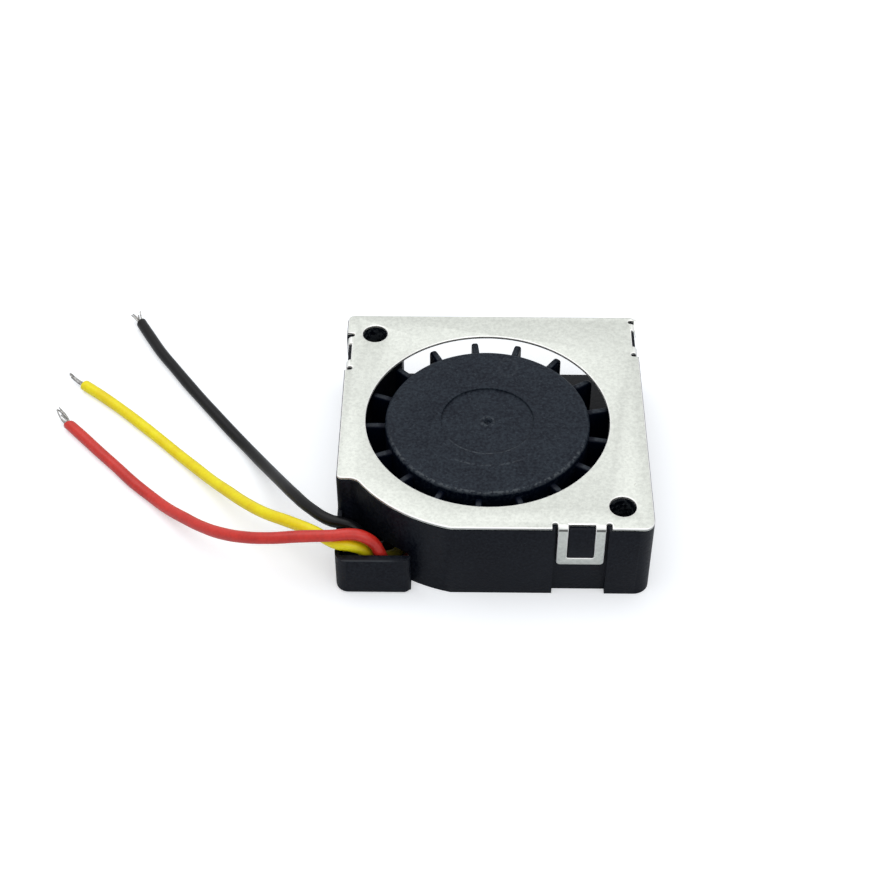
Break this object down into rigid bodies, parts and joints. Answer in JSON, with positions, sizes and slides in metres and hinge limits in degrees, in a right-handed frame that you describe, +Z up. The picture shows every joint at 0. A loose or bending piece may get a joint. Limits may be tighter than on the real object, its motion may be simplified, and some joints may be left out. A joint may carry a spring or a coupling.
{
  "type": "dc blower fan",
  "caption": "Miniature square radial blower: volute housing, latched sheet-metal cover with a round inlet, bladed hub on an outrunner motor, side outlet and three bare-ended leads.",
  "frame": {"origin": "centre of the square case at its underside", "axes": "+Z up to the inlet, +Y out of the outlet, lead pocket at the -X -Y corner"},
  "size_m": [0.0409, 0.0272, 0.0061],
  "materials": {
    "housing_plastic": "fine moulded satin",
    "cover_sheet": "matt rolled nickel-plated sheet",
    "impeller_plastic": "satin",
    "yoke_steel": "drawn and plated",
    "magnet": "bonded ferrite",
    "shaft_steel": "ground",
    "washer_plastic": "natural nylon",
    "sintered_bronze": "sintered, oiled",
    "brass": "turned",
    "lamination_steel": "stamped sheets",
    "insulator_plastic": "moulded",
    "copper_wire": "enamelled",
    "board_laminate": "solder mask",
    "chip_epoxy": "moulded epoxy",
    "chip_ceramic": "fired ceramic with tinned ends",
    "solder": "bright solder",
    "red_insulation": "glossy insulation",
    "yellow_insulation": "glossy insulation",
    "black_insulation": "glossy insulation",
    "tinned_copper": "tinned strands"
  },
  "bodies": {
    "case": {"housing": "housing_plastic", "top_cover": "cover_sheet", "oil_washer": "washer_plastic", "bearing_sleeve": "sintered_bronze", "bearing_tube": "brass", "thrust_pad": "washer_plastic", "stator_laminations": "lamination_steel", "upper_insulator": "insulator_plastic", "lower_insulator": "insulator_plastic", "windings": "copper_wire", "winding_pins": "solder", "circuit_board": "board_laminate", "driver_chip": "chip_epoxy", "chip_components": "chip_ceramic", "solder_joints": "solder", "red_lead": "red_insulation", "yellow_lead": "yellow_insulation", "black_lead": "black_insulation", "red_conductor": "tinned_copper", "yellow_conductor": "tinned_copper", "black_conductor": "tinned_copper"},
    "rotor": {"impeller": "impeller_plastic", "rotor_yoke": "yoke_steel", "rotor_magnet": "magnet", "shaft": "shaft_steel", "retaining_ring": "shaft_steel"}
  },
  "joints": [
    {"name": "rotor_spin", "type": "hinge", "parent": "case", "child": "rotor", "pos_m": [-0.00035, -0.00015, 0.003], "axis": [0, 0, 1], "continuous": true}
  ]
}
